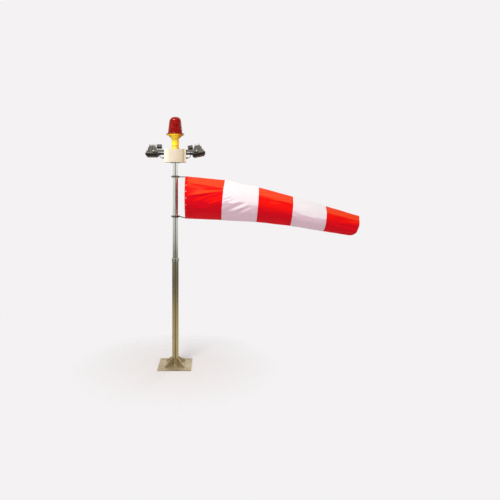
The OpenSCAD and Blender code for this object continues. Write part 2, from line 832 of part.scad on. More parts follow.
module sweep(path, r, sides) {
    points = [for (i = [0:len(path) - 1])
        let (t = along(path, i), u = side_of(t), v = cross(t, u))
            for (j = [0:sides - 1])
                path[i] + r * (cos(j * 360 / sides) * u + sin(j * 360 / sides) * v)];
    last = len(path) - 1;
    faces = concat(
        [[for (j = [0:sides - 1]) j]],
        [for (i = [0:last - 1], j = [0:sides - 1])
            let (a = i * sides + j, b = i * sides + (j + 1) % sides)
                [a, a + sides, b + sides, b]],
        [[for (j = [sides - 1:-1:0]) last * sides + j]]);
    polyhedron(points, faces, convexity = 6);
}

module lead(side)
    color("#101010")
        mirror([side < 0 ? 1 : 0, 0, 0])
            sweep(smooth_path(lead_points(side < 0 ? roll_left : roll_right), 2), lead_d / 2, 8);

// ---------- swivel frame ----------

module swivel_collar(z)
    color("#b9b9b2")
        tube(collar_d / 2, bush_r, z - collar_h / 2, z + collar_h / 2);

module bush(z)
    color("#b08d4a")
        for (s = [-1, 1])
            translate([0, 0, z])
                mirror([0, 0, s < 0 ? 1 : 0]) {
                    tube(bush_r, upper_d / 2 + swivel_play, 0, collar_h / 2);
                    tube(bush_flange_r, upper_d / 2 + swivel_play, collar_h / 2, half_collar);
                }

module hoop()
    color("#3a3a38")
        hoop_solid();

module hoop_solid()
    translate([hoop_x, 0, hoop_z])
        rotate([0, 90, 0])
            rotate_extrude($fn = 128) translate([hoop_r, 0]) circle(hoop_rod_d / 2, $fn = 32);

// A rod from the collar at height z to the hoop at height hoop_end
module arm(z, hoop_end)
    color("#8d8d88") {
        start = [upper_d / 2 + bush_wall, z];
        run = hoop_x - start[0];
        drop = z - hoop_end;
        difference() {
            translate([start[0], 0, start[1]])
                rotate([0, 90 + atan2(drop, run), 0])
                    cylinder(r = arm_d / 2, h = norm([run, drop]) - 1, $fn = 48);
            translate([0, 0, z - lots / 2]) cylinder(r = collar_d / 2, h = lots, $fn = fine);
            hoop_solid();
        }
    }

module hoop_loops()
    color("#f5150c")
        translate([hoop_x, 0, hoop_z])
            rotate([0, 90, 0])
                for (i = [0:loop_n - 1])
                    rotate([0, 0, (i + 0.5) * 360 / loop_n - loop_angle / 2]) hoop_loop();

// Cloth wrapped round the rod, with a tongue that runs to the sock's hem
module hoop_loop()
    difference() {
        union() {
            rotate_extrude(angle = loop_angle, $fn = 128)
                translate([hoop_r, 0]) circle(loop_r + cloth_t, $fn = 32);
            rotate_extrude(angle = loop_angle, $fn = 128)
                translate([mouth_d / 2 - cloth_t, 0]) square([cloth_t, mouth_x - hoop_x]);
        }
        rotate([0, 0, -1])
            rotate_extrude(angle = loop_angle + 2, $fn = 128)
                translate([hoop_r, 0]) circle(loop_r, $fn = 32);
    }

// ---------- sock ----------

// Everything on one side of a seam's plane: s is -1 before the seam and 1 after it
module beyond_seam(k, s)
    translate([ring_x(k), 0, ring_z(k)])
        rotate([0, ring_lean(k), 0])
            translate([s < 0 ? -lots : 0, -lots / 2, -lots / 2]) cube(lots);

// A cone round a band's middle line, run on past both seams
module band_cone(k, r0, r1) {
    l = band_l[k - 1];
    grow = (r1 - r0) / l * seam_run;
    translate([ring_x(k - 1), 0, ring_z(k - 1)])
        rotate([0, 90 + slope[k - 1], 0])
            translate([0, 0, -seam_run])
                cylinder(r1 = r0 - grow, r2 = r1 + grow, h = l + 2 * seam_run, $fn = 128);
}

module sock_band(k)
    color(k % 2 == 1 ? "#f5150c" : "#f6f2f8") {
        r0 = seam_d[k - 1] / 2 - (k == 1 ? 0 : cloth_t + seam_gap);
        r1 = seam_d[k] / 2;
        difference() {
            band_cone(k, r0, r1);
            band_cone(k, r0 - cloth_t, r1 - cloth_t);
            beyond_seam(k - 1, -1);
            beyond_seam(k, 1);
        }
    }

base_plate();
gusset(0);  // gusset_1
gusset(1);  // gusset_2
gusset(2);  // gusset_3
gusset(3);  // gusset_4
lower_tube();
mast_sleeve();
joint_collar();
joint_screws();
upper_tube();
stop_collar(stop_low_z);  // stop_collar_lower
stop_collar(stop_high_z);  // stop_collar_upper
head_flange();
head_bolts();
box_shell();
box_gasket();
box_cover();
cover_screws();
power_unit();
terminal_strip();
beacon_base();
beacon_bolts();
beacon_gasket();
beacon_lens();
lens_screws();
lamp_tower();
lamp_leds();
yoke(-1);  // yoke_left
yoke(1);  // yoke_right
yoke_bolts(-1);  // yoke_bolts_left
yoke_bolts(1);  // yoke_bolts_right
lead_gland(-1);  // lead_gland_left
lead_gland(1);  // lead_gland_right
flood_body(-1);  // flood_body_left
flood_body(1);  // flood_body_right
flood_bezel(-1);  // flood_bezel_left
flood_bezel(1);  // flood_bezel_right
flood_glass(-1);  // flood_glass_left
flood_glass(1);  // flood_glass_right
flood_leds(-1);  // flood_leds_left
flood_leds(1);  // flood_leds_right
flood_driver(-1);  // flood_driver_left
flood_driver(1);  // flood_driver_right
pivot_bolts(-1);  // pivot_bolts_left
pivot_bolts(1);  // pivot_bolts_right
lead(-1);  // lead_left
lead(1);  // lead_right
swivel_collar(swivel_z);  // swivel_collar_upper
swivel_collar(lower_swivel_z);  // swivel_collar_lower
bush(swivel_z);  // bush_upper
bush(lower_swivel_z);  // bush_lower
arm(swivel_z, hoop_z + hoop_r);  // arm_upper
arm(lower_swivel_z, hoop_z - hoop_r);  // arm_lower
hoop();
hoop_loops();
sock_band(1);  // sock_band_1
sock_band(2);  // sock_band_2
sock_band(3);  // sock_band_3
sock_band(4);  // sock_band_4
sock_band(5);  // sock_band_5
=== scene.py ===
# %% [markdown]
# # A windsock on its mast, finished in Blender
# The frame holds every rigid part at its real size and place, and the bodies that move it.
# This lesson gives each of those parts its finish, and models what a solid can't show: the
# cloth of the sock with its hems, tapes and loops, the weld beads, the leads and the lens.

# %% Load the frame
import json
import math

import bpy
import numpy as np
from mathutils import Matrix, Vector, noise


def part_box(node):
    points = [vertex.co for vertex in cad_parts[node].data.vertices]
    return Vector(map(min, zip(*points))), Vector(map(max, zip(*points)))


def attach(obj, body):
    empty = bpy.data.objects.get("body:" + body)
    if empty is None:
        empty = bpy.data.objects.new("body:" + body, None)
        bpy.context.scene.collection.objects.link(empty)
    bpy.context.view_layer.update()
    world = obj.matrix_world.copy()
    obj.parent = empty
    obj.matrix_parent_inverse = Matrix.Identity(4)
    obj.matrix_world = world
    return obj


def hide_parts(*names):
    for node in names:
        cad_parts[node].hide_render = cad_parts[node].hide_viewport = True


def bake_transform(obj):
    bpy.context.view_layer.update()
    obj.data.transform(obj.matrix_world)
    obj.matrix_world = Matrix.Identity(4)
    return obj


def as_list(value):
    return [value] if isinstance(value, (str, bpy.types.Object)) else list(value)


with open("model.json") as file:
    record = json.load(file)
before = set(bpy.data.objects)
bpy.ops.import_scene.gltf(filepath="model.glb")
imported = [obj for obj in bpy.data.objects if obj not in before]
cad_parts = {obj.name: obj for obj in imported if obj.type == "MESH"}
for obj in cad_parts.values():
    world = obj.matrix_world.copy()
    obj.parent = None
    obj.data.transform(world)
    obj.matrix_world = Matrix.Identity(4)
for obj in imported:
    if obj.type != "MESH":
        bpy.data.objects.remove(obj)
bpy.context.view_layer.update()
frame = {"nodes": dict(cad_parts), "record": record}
node = frame["nodes"]
scene = bpy.context.scene
MM = 0.001

# %% [markdown]
# ## Camera
# A windsock is seen from the ground by someone a few metres away, standing a little to the
# sock's side of the mast. The camera is kept level, so that the mast stays upright in the
# picture, and its frame is shifted sideways and down instead of being turned.

# %% Camera
camera_data = bpy.data.cameras.new("camera")
camera_data.lens = 35.3
camera_data.sensor_width = 36
camera_data.shift_x = 0.0782
camera_data.shift_y = -0.13
camera = bpy.data.objects.new("camera", camera_data)
camera.location = (0.5, -6.9, 2.53)
camera.rotation_euler = (math.radians(90), 0, 0)
scene.collection.objects.link(camera)
scene.camera = camera
print("camera", tuple(camera.location))

# %% [markdown]
# ## Helpers for materials
# Colours are written as sRGB hex values, as a paint or cloth card gives them, and one function
# turns them linear. One more function adds a node, sets its sockets and joins its links.

# %% Colour and node helpers
def rgb(hex_value, alpha=1.0):
    parts = [int(hex_value[i:i + 2], 16) / 255 for i in (1, 3, 5)]
    return (*[p / 12.92 if p <= 0.04045 else ((p + 0.055) / 1.055) ** 2.4 for p in parts], alpha)


def add(tree, kind, links=None, **settings):
    made = tree.nodes.new(kind)
    for name, value in settings.items():
        socket = made.inputs.get(name.replace("_", " "))
        if socket is not None:
            socket.default_value = value
        else:
            setattr(made, name, value)
    for name, source in (links or {}).items():
        tree.links.new(source, made.inputs[name])
    return made


def new_material(name):
    material = bpy.data.materials.new(name)
    material.use_nodes = True
    tree = material.node_tree
    tree.nodes.clear()
    out = add(tree, "ShaderNodeOutputMaterial")
    shader = add(tree, "ShaderNodeBsdfPrincipled")
    tree.links.new(shader.outputs["BSDF"], out.inputs["Surface"])
    coords = add(tree, "ShaderNodeTexCoord")
    return material, tree, shader, coords


def stretched(tree, coords, scale):
    mapping = add(tree, "ShaderNodeMapping", {"Vector": coords}, Scale=scale)
    return mapping.outputs["Vector"]


def ramp(tree, source, stops):
    made = add(tree, "ShaderNodeValToRGB", {"Fac": source})
    elements = made.color_ramp.elements
    while len(elements) < len(stops):
        elements.new(0.5)
    for element, (place, colour) in zip(elements, stops):
        element.position = place
        element.color = colour
    return made.outputs["Color"]


def grey(value):
    return (value, value, value, 1)

# %% [markdown]
# ## Floor, light and surroundings
# The floor is a pale disc that fades into the surroundings, so no edge shows. Polished steel
# is mostly a picture of what stands round it, so the surroundings are made with care: a bright
# sky, paler sides, a dark strip where an onlooker would stand, and ground that is tan near the
# mast and darker further off, which only reflections see.

# %% Floor
PALE = rgb("#f4f2f3")
bpy.ops.object.select_all(action="DESELECT")
bpy.ops.mesh.primitive_circle_add(vertices=96, radius=14, fill_type="NGON")
floor = bpy.context.object
floor.name = "floor"
floor_material, tree, shader, coords = new_material("pale_floor")
distance = add(tree, "ShaderNodeVectorMath", {0: coords.outputs["Object"]}, operation="LENGTH")
path = add(tree, "ShaderNodeLightPath")
near_far = ramp(tree, add(tree, "ShaderNodeMapRange", {"Value": distance.outputs["Value"]},
                          From_Min=0.0, From_Max=12.0).outputs["Result"],
                [(0.0, rgb("#d8c8a6")), (0.27, rgb("#cdbb92")), (0.36, rgb("#8a8268")),
                 (0.5, rgb("#3b3a2e")), (0.72, rgb("#47463c")),
                  (0.86, rgb("#b6b4a4")), (1.0, rgb("#d4d2c6"))])
floor_colour = add(tree, "ShaderNodeMix", {"Factor": path.outputs["Is Glossy Ray"]},
                   data_type="RGBA")
floor_colour.inputs[6].default_value = rgb("#dedcdd")
away = add(tree, "ShaderNodeVectorMath", {0: coords.outputs["Object"]}, operation="NORMALIZE")
facing_us = add(tree, "ShaderNodeVectorMath", {0: away.outputs["Vector"]}, operation="DOT_PRODUCT")
facing_us.inputs[1].default_value = Vector((camera.location.x, camera.location.y, 0)).normalized()
own_shadow = ramp(tree, facing_us.outputs["Value"],
                  [(0.0, grey(1.0)), (0.93, grey(1.0)), (0.975, grey(0.35)), (1.0, grey(0.25))])
ground = add(tree, "ShaderNodeMix", data_type="RGBA", blend_type="MULTIPLY")
ground.inputs[0].default_value = 1.0
tree.links.new(near_far, ground.inputs[6])
tree.links.new(own_shadow, ground.inputs[7])
tree.links.new(ground.outputs[2], floor_colour.inputs[7])
tree.links.new(floor_colour.outputs[2], shader.inputs["Base Color"])
shader.inputs["Roughness"].default_value = 0.9
shader.inputs["Specular IOR Level"].default_value = 0.0
clear = add(tree, "ShaderNodeBsdfTransparent")
fade = add(tree, "ShaderNodeMapRange", {"Value": distance.outputs["Value"]},
           From_Min=0.35, From_Max=1.5)
fade_seen = add(tree, "ShaderNodeMath", {0: fade.outputs["Result"], 1: path.outputs["Is Camera Ray"]},
                operation="MULTIPLY")
floor_mix = add(tree, "ShaderNodeMixShader", {"Fac": fade_seen.outputs["Value"]})
tree.links.new(shader.outputs["BSDF"], floor_mix.inputs[1])
tree.links.new(clear.outputs["BSDF"], floor_mix.inputs[2])
tree.links.new(floor_mix.outputs["Shader"], tree.nodes["Material Output"].inputs["Surface"])
floor.data.materials.append(floor_material)

# %% Surroundings
world = bpy.data.worlds.new("studio")
scene.world = world
world.use_nodes = True
tree = world.node_tree
tree.nodes.clear()
coords = add(tree, "ShaderNodeTexCoord")
parts = add(tree, "ShaderNodeSeparateXYZ", {"Vector": coords.outputs["Generated"]})
sky = ramp(tree, add(tree, "ShaderNodeMapRange", {"Value": parts.outputs["Z"]},
                     From_Min=-1.0, From_Max=1.0).outputs["Result"],
           [(0.0, grey(0.30)), (0.44, grey(0.55)), (0.5, grey(0.92)), (0.7, grey(0.92)), (1.0, grey(0.95))])
towards = add(tree, "ShaderNodeVectorMath", {0: coords.outputs["Generated"]}, operation="DOT_PRODUCT")
towards.inputs[1].default_value = Vector((camera.location.x, camera.location.y, 0)).normalized()
strip = ramp(tree, towards.outputs["Value"],
             [(0.0, grey(1.0)), (0.95, grey(1.0)), (0.985, grey(0.12)), (1.0, grey(0.06))])
around = add(tree, "ShaderNodeMix", data_type="RGBA", blend_type="MULTIPLY")
around.inputs[0].default_value = 1.0
tree.links.new(sky, around.inputs[6])
tree.links.new(strip, around.inputs[7])
path = add(tree, "ShaderNodeLightPath")
glare = add(tree, "ShaderNodeMapRange", {"Value": path.outputs["Is Glossy Ray"]}, To_Min=0.6, To_Max=1.1)
lit = add(tree, "ShaderNodeBackground", {"Color": around.outputs[2], "Strength": glare.outputs["Result"]})
seen = add(tree, "ShaderNodeBackground", Color=PALE, Strength=1.0)
both = add(tree, "ShaderNodeMixShader", {"Fac": path.outputs["Is Camera Ray"]})
tree.links.new(lit.outputs["Background"], both.inputs[1])
tree.links.new(seen.outputs["Background"], both.inputs[2])
out = add(tree, "ShaderNodeOutputWorld", {"Surface": both.outputs["Shader"]})
scene.view_settings.view_transform = "Standard"

# %% Lights
def area_light(name, place, aim, size, power, colour, mirrored=True):
    data = bpy.data.lights.new(name, "AREA")
    data.shape = "DISK"
    data.size = size
    data.energy = power
    data.color = colour
    light = bpy.data.objects.new(name, data)
    light.location = place
    light.rotation_mode = "QUATERNION"
    light.rotation_quaternion = (Vector(aim) - Vector(place)).to_track_quat("-Z", "Y")
    light.visible_glossy = mirrored
    scene.collection.objects.link(light)
    return light


area_light("key", (-1.2, -3.2, 7.0), (1.0, 0, 2.3), 2.0, 330, (1.0, 0.96, 0.9))
area_light("fill", (1.2, -6.5, 0.9), (1.2, 0, 2.2), 2.6, 85, (1.0, 0.88, 0.95), False)
area_light("back", (2.5, 4.5, 4.5), (0.8, 0, 2.4), 2.5, 70, (1.0, 1.0, 1.0))

# %% [markdown]
# ## Steel of the mast
# The mast is two drawn steel tubes, polished until they mirror the sky and the ground. Drawing
# leaves very fine lines along the tube, which stretch each reflection across it. The lines are
# noise that is squeezed round the tube and drawn out along it. Plate, arms and collars are
# duller, as they are only blasted or turned.
#
# The head box and the lamp casting also have a painted ramp across them. On the box it is a light
# edge and dark lines; on the casting it is a painted highlight left of centre and painted shade
# towards the right. It stands in for reflections and light from surroundings that aren't modelled,
# so it doesn't move when the part is turned or lit another way.

# %% Metal materials
def graded(tree, coords, base, axis, low, high, stops):
    """The base colour multiplied by a ramp along one axis of the object, from low to high in metres."""
    parts = add(tree, "ShaderNodeSeparateXYZ", {"Vector": coords.outputs["Object"]})
    along = add(tree, "ShaderNodeMapRange", {"Value": parts.outputs[axis]}, From_Min=low, From_Max=high)
    tone = ramp(tree, along.outputs["Result"], [(at, rgb(colour)) for at, colour in stops])
    mixed = add(tree, "ShaderNodeMix", data_type="RGBA", blend_type="MULTIPLY")
    mixed.inputs[0].default_value = 1.0
    tree.links.new(base, mixed.inputs[6])
    tree.links.new(tone, mixed.inputs[7])
    return mixed.outputs[2]


def metal(name, light, dark, rough, rough_spread=0.05, grain_mm=3.0, drawn=(1, 1, 1), dent=0.0,
          metallic=1.0, spots=0.35, painted=None):
    """A metal whose colour and gloss vary with a grain of the given size, drawn out along an axis."""
    material, tree, shader, coords = new_material(name)
    across = stretched(tree, coords.outputs["Object"], [1 / d for d in drawn])
    grain = add(tree, "ShaderNodeTexNoise", {"Vector": across}, Scale=1 / (grain_mm * MM), Detail=4)
    cloud = add(tree, "ShaderNodeTexNoise", {"Vector": coords.outputs["Object"]}, Scale=7.0, Detail=5)
    both = add(tree, "ShaderNodeMix", {"A": grain.outputs["Fac"], "B": cloud.outputs["Fac"]})
    both.inputs[0].default_value = spots
    level = both.outputs[0]
    base = ramp(tree, level, [(0.3, rgb(dark)), (0.7, rgb(light))])
    tree.links.new(graded(tree, coords, base, *painted) if painted else base, shader.inputs["Base Color"])
    gloss = add(tree, "ShaderNodeMapRange", {"Value": level}, From_Min=0.3, From_Max=0.7,
                To_Min=rough + rough_spread, To_Max=rough - rough_spread)
    tree.links.new(gloss.outputs["Result"], shader.inputs["Roughness"])
    shader.inputs["Metallic"].default_value = metallic
    if dent:
        bump = add(tree, "ShaderNodeBump", {"Height": grain.outputs["Fac"]}, Strength=dent,
                   Distance=0.3 * MM)
        tree.links.new(bump.outputs["Normal"], shader.inputs["Normal"])
    return material


finish_of = {
    # drawn and polished stainless tube: clear reflections, faint lines along it
    "upper_tube_steel": metal("polished_stainless_tube", "#e0e0da", "#d0d0c8", 0.16, 0.03, 1.2, (1, 1, 60)),
    # the same tube, a little duller, in a warmer tan that is a painted reflection of the ground
    "lower_tube_steel": metal("drawn_stainless_tube", "#c9c4ae", "#aaa48c", 0.24, 0.05, 1.5, (1, 1, 40)),
    # hot-dip galvanised plate, mottled, in a warm tan that is a painted reflection of the ground
    "plate_steel": metal("galvanised_plate_painted_reflection", "#c2b294", "#948564", 0.46, 0.1, 14, (1, 1, 1), 0.15,
                         0.75, 0.5),
    # turned and zinc-plated rings and flanges
    "plain_steel": metal("zinc_plated_steel", "#aeada4", "#85847c", 0.34, 0.06, 2.0, (1, 1, 0.2), 0.05),
    # bright-turned collars, the shiniest rings on the mast
    "bright_steel": metal("bright_turned_steel", "#f4f2e6", "#d2cfc0", 0.2, 0.05, 1.0, (8, 8, 0.3), 0.04),
    # brushed stainless sheet of the head box, over a painted ramp that stands in for reflections
    "box_steel": metal("brushed_stainless_sheet", "#fffaee", "#efe6d4", 0.45, 0.05, 0.9, (45, 45, 1), 0.04,
                       0.35, 0.35, ("X", -0.151, 0.151, [(0.0, "#ffffff"), (0.17, "#fdf9f2"),
                                                         (0.24, "#ece7de"), (0.8, "#d3cab9"),
                                                         (0.93, "#a89f8e"), (0.965, "#fff7e4")])),
    # zinc-plated bolts and screws
    "bolt_steel": metal("zinc_plated_bolts", "#b4b4ae", "#82827c", 0.32, 0.06, 1.5, (1, 1, 1), 0.04),
    # galvanised rod of the arms and the hoop
    "frame_steel": metal("galvanised_rod", "#7a7a74", "#4c4c48", 0.4, 0.08, 3.0, (1, 1, 1), 0.08),
    # cast bronze bushes, rubbed bright where they turn
    "bush_bronze": metal("bearing_bronze", "#c59a52", "#94703a", 0.3, 0.06, 2.0, (1, 1, 0.3), 0.05),
    # extruded aluminium of the lamp tower and cast aluminium of the floodlights
    "lamp_aluminium": metal("natural_aluminium", "#c6c6c2", "#a2a29e", 0.38, 0.05, 1.5, (1, 1, 12), 0.04),
    "driver_case": metal("pressed_aluminium_case", "#cfd2d6", "#b2b5b9", 0.34, 0.05, 2.0),
}
print(len(finish_of), "metals")

# %% [markdown]
# ## Paint, rubber and plastic
# The lamp casting is painted yellow with a thick enamel that levels into a soft orange peel.
# The floodlights are powder coated, which dries to a fine pebbled skin. Rubber and nylon are
# dull and nearly even, so their grain is faint.

# %% Coated and moulded materials
def coated(name, light, dark, rough, peel_mm, peel, coat=0.0, metallic=0.0, patch=9.0, painted=None):
    """Paint, rubber or plastic: an even colour with a slow drift, over a pebbled skin."""
    material, tree, shader, coords = new_material(name)
    drift = add(tree, "ShaderNodeTexNoise", {"Vector": coords.outputs["Object"]}, Scale=patch, Detail=6)
    base = ramp(tree, drift.outputs["Fac"], [(0.32, rgb(dark)), (0.68, rgb(light))])
    tree.links.new(graded(tree, coords, base, *painted) if painted else base, shader.inputs["Base Color"])
    skin = add(tree, "ShaderNodeTexNoise", {"Vector": coords.outputs["Object"]},
               Scale=1 / (peel_mm * MM), Detail=3)
    bump = add(tree, "ShaderNodeBump", {"Height": skin.outputs["Fac"]}, Strength=peel, Distance=0.3 * MM)
    tree.links.new(bump.outputs["Normal"], shader.inputs["Normal"])
    gloss = add(tree, "ShaderNodeMapRange", {"Value": drift.outputs["Fac"]}, From_Min=0.3,
                From_Max=0.7, To_Min=rough + 0.05, To_Max=rough - 0.04)
    tree.links.new(gloss.outputs["Result"], shader.inputs["Roughness"])
    shader.inputs["Coat Weight"].default_value = coat
    shader.inputs["Coat Roughness"].default_value = 0.12
    shader.inputs["Metallic"].default_value = metallic
    return material


finish_of.update({
    # the casting's colour carries a painted ramp across it: a painted highlight left of centre and painted
    # shade towards the right
    "yellow_enamel": coated("yellow_enamel", "#ffe40c", "#ffd800", 0.35, 4.0, 0.15, coat=0.3,
                            painted=("X", -0.07, 0.07, [(0.0, "#e8d890"), (0.25, "#fffdf0"), (0.6, "#fff6d0"),
                                                     (0.8, "#e8c878"), (1.0, "#c89c50")])),
    "dark_enamel": coated("dark_powder_coat", "#4c4b44", "#3a3934", 0.5, 1.2, 0.25, metallic=0.2),
    "dark_casting": coated("powder_coated_casting", "#615f56", "#4a4941", 0.5, 1.4, 0.3, metallic=0.3),
    "black_enamel": coated("black_powder_coat", "#252219", "#17150f", 0.42, 1.2, 0.25, metallic=0.2),
    "driver_black": coated("black_anodised_case", "#474741", "#34342f", 0.4, 1.2, 0.2, metallic=0.3),
    "black_rubber": coated("seal_rubber", "#232323", "#171717", 0.75, 2.0, 0.2),
    "lead_rubber": coated("lead_rubber", "#1d1d1d", "#121212", 0.6, 1.5, 0.2),
    "black_nylon": coated("moulded_nylon", "#252525", "#191919", 0.5, 1.5, 0.15),
    "terminal_plastic": coated("moulded_polyamide", "#dedbd0", "#cdc8b9", 0.5, 1.5, 0.15),
    "led_chip": coated("led_phosphor", "#f6e9a6", "#e6d27c", 0.35, 1.0, 0.1, coat=0.5),
})

# %% [markdown]
# ## Red lens and clear glass
# The lens is moulded acrylic, red all through, so it is darkest where the eye looks along its
# wall and brightest where light crosses it once. Glass that bends light needs many samples, so
# the wall is a thin tinted sheet: a see-through colour mixed with a glossy skin, more red
# towards the edge by its facing angle.

# %% See-through materials
def tinted(name, tint, deep, rough, skin):
    material, tree, shader, coords = new_material(name)
    facing = add(tree, "ShaderNodeLayerWeight", Blend=0.55)
    shader.inputs["Roughness"].default_value = rough
    shader.inputs["Coat Weight"].default_value = 0.05
    shader.inputs["Specular IOR Level"].default_value = 0.2
    drift = add(tree, "ShaderNodeTexNoise", {"Vector": coords.outputs["Object"]}, Scale=30.0, Detail=3)
    mottled = ramp(tree, drift.outputs["Fac"], [(0.3, rgb(deep)), (0.7, rgb(skin))])
    edge = ramp(tree, facing.outputs["Facing"], [(0.0, grey(1.0)), (0.5, grey(0.8)), (0.9, grey(0.28))])
    darker = add(tree, "ShaderNodeMix", data_type="RGBA", blend_type="MULTIPLY")
    darker.inputs[0].default_value = 1.0
    tree.links.new(mottled, darker.inputs[6])
    tree.links.new(edge, darker.inputs[7])
    tree.links.new(darker.outputs[2], shader.inputs["Base Color"])
    through = add(tree, "ShaderNodeBsdfTransparent", Color=rgb(tint))
    share = add(tree, "ShaderNodeMapRange", {"Value": facing.outputs["Facing"]}, From_Min=0.0,
                From_Max=0.7, To_Min=0.42, To_Max=0.92)
    both = add(tree, "ShaderNodeMixShader", {"Fac": share.outputs["Result"]})
    tree.links.new(through.outputs["BSDF"], both.inputs[1])
    tree.links.new(shader.outputs["BSDF"], both.inputs[2])
    tree.links.new(both.outputs["Shader"], tree.nodes["Material Output"].inputs["Surface"])
    return material


finish_of["red_lens"] = tinted("red_acrylic_lens", "#e81404", "#7c0a02", 0.16, "#c01406")
finish_of["clear_glass"] = tinted("toughened_glass", "#d2d6d0", "#8f918a", 0.1, "#a8aaa2")
print(len(finish_of), "finishes")

# %% Cloth material
THREAD = 1.2 * MM


def cloth(name, top, side, under, through, share, grey_grid, soft):
    """Coated polyester: a ripstop grid over a fine weave, and light coming through. The tone also
    follows how far the skin faces up at rest, which is painted on and stands in for light from above."""
    material, tree, shader, coords = new_material(name)
    flat = coords.outputs["UV"]
    drift = add(tree, "ShaderNodeTexNoise", {"Vector": coords.outputs["Object"]}, Scale=4.0, Detail=6)
    painted_light_above = add(tree, "ShaderNodeAttribute", attribute_name="painted_light_above")
    uneven = add(tree, "ShaderNodeMapRange", {"Value": drift.outputs["Fac"]}, From_Min=0.3, From_Max=0.7,
                 To_Min=-0.1, To_Max=0.1)
    height = add(tree, "ShaderNodeMath", {0: painted_light_above.outputs["Fac"], 1: uneven.outputs["Result"]},
                 operation="ADD")
    level = add(tree, "ShaderNodeMapRange", {"Value": height.outputs["Value"]}, From_Min=-1.0, From_Max=1.0)
    colour = ramp(tree, level.outputs["Result"], [(0.5 - 2 * soft, rgb(under)), (0.52 + soft, rgb(side)),
                                                  (0.7, rgb(side)), (0.86, rgb(top))])
    weave = add(tree, "ShaderNodeTexWave", {"Vector": flat}, Scale=1 / (20 * THREAD), bands_direction="X")
    weft = add(tree, "ShaderNodeTexWave", {"Vector": flat}, Scale=1 / (20 * THREAD), bands_direction="Y")
    grid = add(tree, "ShaderNodeTexBrick", {"Vector": flat}, Scale=1.0, Mortar_Size=0.5 * MM,
               Brick_Width=8 * MM, Row_Height=8 * MM, offset=0.0)
    threads = add(tree, "ShaderNodeMath", {0: weave.outputs["Fac"], 1: weft.outputs["Fac"]},
                  operation="MULTIPLY")
    crumple = add(tree, "ShaderNodeTexNoise", {"Vector": coords.outputs["Object"]}, Scale=24.0, Detail=8,
                  Roughness=0.6)
    relief = add(tree, "ShaderNodeMath", {0: grid.outputs["Fac"], 1: threads.outputs["Value"]},
                 operation="ADD")
    fine = add(tree, "ShaderNodeBump", {"Height": relief.outputs["Value"]}, Strength=0.2, Distance=0.3 * MM)
    rough = add(tree, "ShaderNodeBump", {"Height": crumple.outputs["Fac"], "Normal": fine.outputs["Normal"]},
                Strength=0.5, Distance=6 * MM)
    darker = add(tree, "ShaderNodeMix", data_type="RGBA", blend_type="MULTIPLY")
    tree.links.new(grid.outputs["Fac"], darker.inputs[0])
    tree.links.new(colour, darker.inputs[6])
    darker.inputs[7].default_value = grey(grey_grid)
    tree.links.new(darker.outputs[2], shader.inputs["Base Color"])
    tree.links.new(rough.outputs["Normal"], shader.inputs["Normal"])
    shader.inputs["Roughness"].default_value = 0.6
    shader.inputs["Specular IOR Level"].default_value = 0.12
    behind = add(tree, "ShaderNodeBsdfTranslucent", {"Normal": rough.outputs["Normal"]}, Color=rgb(through))
    both = add(tree, "ShaderNodeMixShader", Fac=share)
    tree.links.new(shader.outputs["BSDF"], both.inputs[1])
    tree.links.new(behind.outputs["BSDF"], both.inputs[2])
    tree.links.new(both.outputs["Shader"], tree.nodes["Material Output"].inputs["Surface"])
    return material


# top, side and under are tones of one cloth in painted light and painted shade, lit from above
finish_of["red_cloth"] = cloth("red_coated_polyester", "#ff4a1c", "#fb0c06", "#e6001e", "#ff1408", 0.3, 0.9,
                              0.06)
finish_of["white_cloth"] = cloth("white_coated_polyester", "#fbf9fb", "#faf5f9", "#eed6e2", "#fdf4f8", 0.3,
                                0.94, 0.03)

# %% Give every frame part its finish
# the swivel collars take the frame's duller finish, not the brighter one that their slot names
for row in frame["record"]["subparts"]:
    part = node[row["node"]]
    part.data.materials.clear()
    slot = "frame_steel" if row["node"].startswith("swivel_collar") else row["material_slot"]
    part.data.materials.append(finish_of[slot])

# %% [markdown]
# ## Where the cloth goes
# The sock is five bands of coated polyester, sewn end to end, each a little narrower than the
# last. Its seams hang nearly upright, because the cloth is held by its top, so each seam ring
# leans only a few degrees. The centre and radius of each ring are measured on the frame's plain
# shells, and the lean is the cloth's own.

# %% Seam rings
def end_ring(name, side):
    """Centre and radius of a shell's upstream (-1) or downstream (1) end."""
    points = np.array([v.co for v in node[name].data.vertices])
    top = points[(side * points[:, 0] + points[:, 2]).argmax()]
    bottom = points[(side * points[:, 0] - points[:, 2]).argmax()]
    centre = (top + bottom) / 2 * (1, 0, 1)
    beside = points[np.abs(points[:, 0] - centre[0]) < 15 * MM]
    return centre, np.abs(beside[:, 1]).max()


BANDS = 5
rings = [end_ring("sock_band_1", -1)] + [end_ring(f"sock_band_{k}", 1) for k in range(1, BANDS + 1)]
ring_centre = np.array([c for c, r in rings])
ring_radius = np.array([r for c, r in rings])
ring_lean = np.radians([0.7, 4.9, 4.6, 6.0, 6.6, 14.3])
ring_at = np.concatenate([[0], np.cumsum(np.linalg.norm(np.diff(ring_centre, axis=0), axis=1))])
for k, (centre, radius) in enumerate(rings):
    print(f"ring {k}: centre {np.round(centre, 3)}, radius {radius:.3f}, at {ring_at[k]:.3f} m")

# %% [markdown]
# ## How the cloth hangs
# Wind fills the sock only partly. Its top is pulled straight between the seams, so the upper
# front and the upper back flatten into long facets that meet at a ridge, and each facet ends
# below in a crease. Cloth can't shrink, so where it is pinched at a seam it gathers in a fan of
# folds. Facets and folds are all written as heights over one unrolled sheet, where a place is an
# angle from the top and a distance from the mouth, so they run on across a seam.

# %% Facets and folds
def facet(around, start, end, depth):
    """How far a flat chord from one angle to another lies inside the round, as a share of the radius."""
    half = (end - start) / 2
    off = np.clip(np.abs(around - start - half) / half, 0, 1)
    chord = np.cos(np.radians(half)) / np.cos(np.radians(half * off))
    return np.where(off < 1, depth * (chord - 1), 0)


